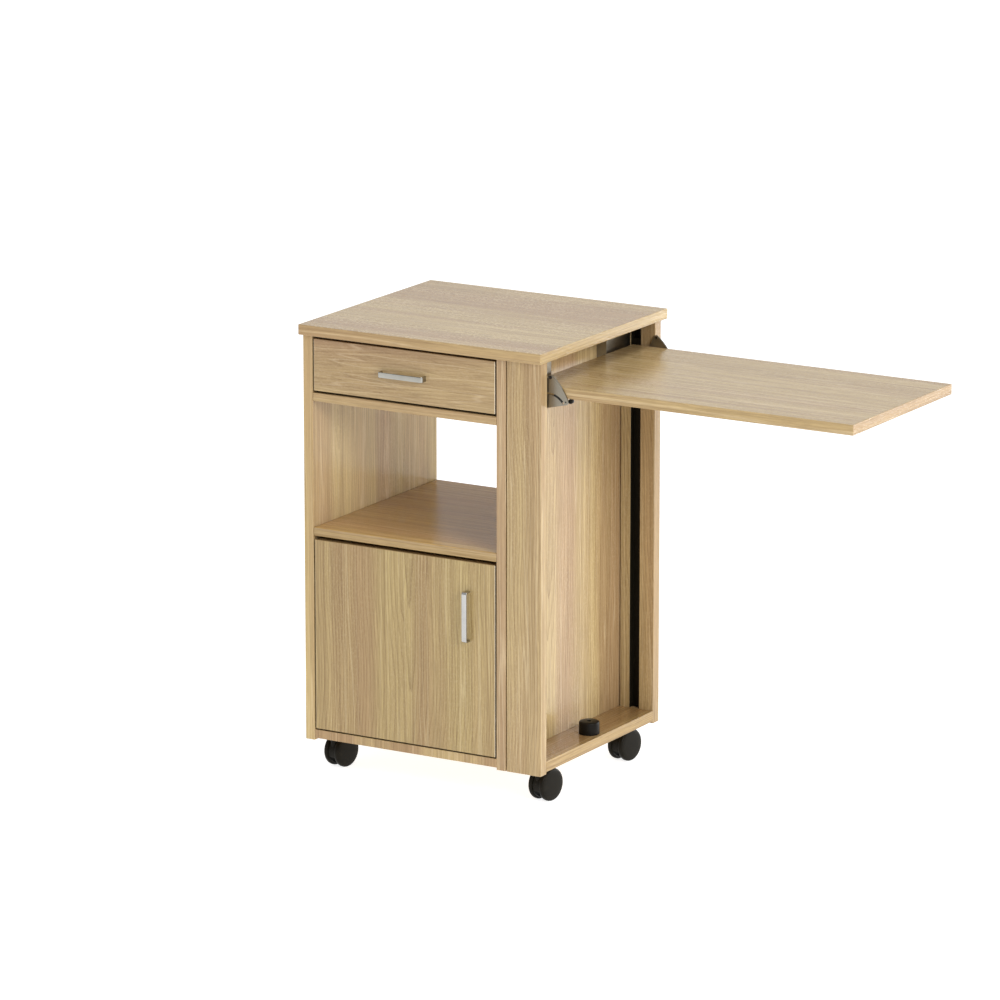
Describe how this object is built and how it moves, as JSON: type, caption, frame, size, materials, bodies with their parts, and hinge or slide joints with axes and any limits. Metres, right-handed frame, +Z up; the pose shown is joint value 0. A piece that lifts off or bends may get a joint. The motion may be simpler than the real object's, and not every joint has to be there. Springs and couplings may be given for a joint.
{
  "type": "bedside cabinet",
  "caption": "Mobile bedside cabinet in oak laminate with a drawer, an open shelf, a hinged door, twin-wheel castors and an overbed leaf that folds down into a side pocket.",
  "frame": {"origin": "on the floor, under the middle of the box round the whole part with its leaf out", "axes": "+Z up, the drawer and the door face -Y, the leaf reaches out towards +X"},
  "size_m": [1.095, 0.459, 0.83],
  "materials": {
    "oak_laminate": "semi-gloss light oak laminate with a fine straight grain",
    "pale_board": "matt pale maple laminate",
    "satin_steel": "satin",
    "grey_steel": "satin grey coating on folded sheet steel",
    "zinc_steel": "zinc plated",
    "black_rubber": "moulded, semi-matt",
    "black_plastic": "moulded, satin",
    "grey_plastic": "moulded, matt"
  },
  "bodies": {
    "cabinet": {"top_board": "oak_laminate", "left_side_panel": "oak_laminate", "right_side_panel": "oak_laminate", "bottom_board": "oak_laminate", "middle_shelf": "oak_laminate", "drawer_support_board": "oak_laminate", "lower_back_panel": "pale_board", "upper_back_panel": "pale_board", "housing_front_panel": "oak_laminate", "housing_rear_panel": "oak_laminate", "housing_floor": "oak_laminate", "slot_channel_front": "black_plastic", "slot_channel_rear": "black_plastic", "guide_block_front": "black_plastic", "guide_block_rear": "black_plastic", "hinge_housing_front": "grey_steel", "hinge_housing_rear": "grey_steel", "leaf_bumper": "black_rubber", "drawer_slide_outer_left": "zinc_steel", "drawer_slide_outer_right": "zinc_steel", "door_hinge_arm_lower": "zinc_steel", "door_hinge_arm_upper": "zinc_steel", "door_catch": "grey_plastic", "castor_front_left_stem": "zinc_steel", "castor_front_right_stem": "zinc_steel", "castor_rear_left_stem": "zinc_steel", "castor_rear_right_stem": "zinc_steel"},
    "leaf": {"leaf_board": "oak_laminate", "leaf_bracket_front": "grey_steel", "leaf_bracket_rear": "grey_steel", "leaf_buffer_front": "black_rubber", "leaf_buffer_rear": "black_rubber"},
    "drawer": {"drawer_front": "oak_laminate", "drawer_left_side": "pale_board", "drawer_right_side": "pale_board", "drawer_back": "pale_board", "drawer_bottom": "pale_board", "drawer_handle": "satin_steel", "drawer_slide_inner_left": "zinc_steel", "drawer_slide_inner_right": "zinc_steel"},
    "door": {"door_panel": "oak_laminate", "door_handle": "satin_steel", "door_hinge_cup_lower": "zinc_steel", "door_hinge_cup_upper": "zinc_steel"},
    "castor_front_left": {"castor_front_left_fork": "black_plastic", "castor_front_left_axle": "zinc_steel"},
    "castor_front_left_wheel_left": {"castor_front_left_wheel_left": "black_plastic"},
    "castor_front_left_wheel_right": {"castor_front_left_wheel_right": "black_plastic"},
    "castor_front_right": {"castor_front_right_fork": "black_plastic", "castor_front_right_axle": "zinc_steel"},
    "castor_front_right_wheel_left": {"castor_front_right_wheel_left": "black_plastic"},
    "castor_front_right_wheel_right": {"castor_front_right_wheel_right": "black_plastic"},
    "castor_rear_left": {"castor_rear_left_fork": "black_plastic", "castor_rear_left_axle": "zinc_steel"},
    "castor_rear_left_wheel_left": {"castor_rear_left_wheel_left": "black_plastic"},
    "castor_rear_left_wheel_right": {"castor_rear_left_wheel_right": "black_plastic"},
    "castor_rear_right": {"castor_rear_right_fork": "black_plastic", "castor_rear_right_axle": "zinc_steel"},
    "castor_rear_right_wheel_left": {"castor_rear_right_wheel_left": "black_plastic"},
    "castor_rear_right_wheel_right": {"castor_rear_right_wheel_right": "black_plastic"}
  },
  "joints": [
    {"name": "leaf_fold", "type": "hinge", "parent": "cabinet", "child": "leaf", "pos_m": [-0.0915, -0.0015, 0.7515], "axis": [0, 1, 0], "range_deg": [0, 90]},
    {"name": "drawer_slide", "type": "slide", "parent": "cabinet", "child": "drawer", "axis": [0, -1, 0], "range_m": [0, 0.26]},
    {"name": "door_hinge", "type": "hinge", "parent": "cabinet", "child": "door", "pos_m": [-0.5215, -0.2155, 0.26], "axis": [0, 0, -1], "range_deg": [0, 105]},
    {"name": "castor_front_left_swivel", "type": "hinge", "parent": "cabinet", "child": "castor_front_left", "pos_m": [-0.5125, -0.1675, 0.05], "axis": [0, 0, 1], "continuous": true},
    {"name": "castor_front_left_spin_left", "type": "hinge", "parent": "castor_front_left", "child": "castor_front_left_wheel_left", "pos_m": [-0.50937, -0.14977, 0.03], "axis": [0.9848, -0.1736, 0], "continuous": true},
    {"name": "castor_front_left_spin_right", "type": "hinge", "parent": "castor_front_left", "child": "castor_front_left_wheel_right", "pos_m": [-0.50937, -0.14977, 0.03], "axis": [0.9848, -0.1736, 0], "continuous": true},
    {"name": "castor_front_right_swivel", "type": "hinge", "parent": "cabinet", "child": "castor_front_right", "pos_m": [-0.0825, -0.1675, 0.05], "axis": [0, 0, 1], "continuous": true},
    {"name": "castor_front_right_spin_left", "type": "hinge", "parent": "castor_front_right", "child": "castor_front_right_wheel_left", "pos_m": [-0.07937, -0.14977, 0.03], "axis": [0.9848, -0.1736, 0], "continuous": true},
    {"name": "castor_front_right_spin_right", "type": "hinge", "parent": "castor_front_right", "child": "castor_front_right_wheel_right", "pos_m": [-0.07937, -0.14977, 0.03], "axis": [0.9848, -0.1736, 0], "continuous": true},
    {"name": "castor_rear_left_swivel", "type": "hinge", "parent": "cabinet", "child": "castor_rear_left", "pos_m": [-0.5125, 0.1645, 0.05], "axis": [0, 0, 1], "continuous": true},
    {"name": "castor_rear_left_spin_left", "type": "hinge", "parent": "castor_rear_left", "child": "castor_rear_left_wheel_left", "pos_m": [-0.51563, 0.14677, 0.03], "axis": [-0.9848, 0.1736, 0], "continuous": true},
    {"name": "castor_rear_left_spin_right", "type": "hinge", "parent": "castor_rear_left", "child": "castor_rear_left_wheel_right", "pos_m": [-0.51563, 0.14677, 0.03], "axis": [-0.9848, 0.1736, 0], "continuous": true},
    {"name": "castor_rear_right_swivel", "type": "hinge", "parent": "cabinet", "child": "castor_rear_right", "pos_m": [-0.0825, 0.1645, 0.05], "axis": [0, 0, 1], "continuous": true},
    {"name": "castor_rear_right_spin_left", "type": "hinge", "parent": "castor_rear_right", "child": "castor_rear_right_wheel_left", "pos_m": [-0.08563, 0.14677, 0.03], "axis": [-0.9848, 0.1736, 0], "continuous": true},
    {"name": "castor_rear_right_spin_right", "type": "hinge", "parent": "castor_rear_right", "child": "castor_rear_right_wheel_right", "pos_m": [-0.08563, 0.14677, 0.03], "axis": [-0.9848, 0.1736, 0], "continuous": true}
  ]
}
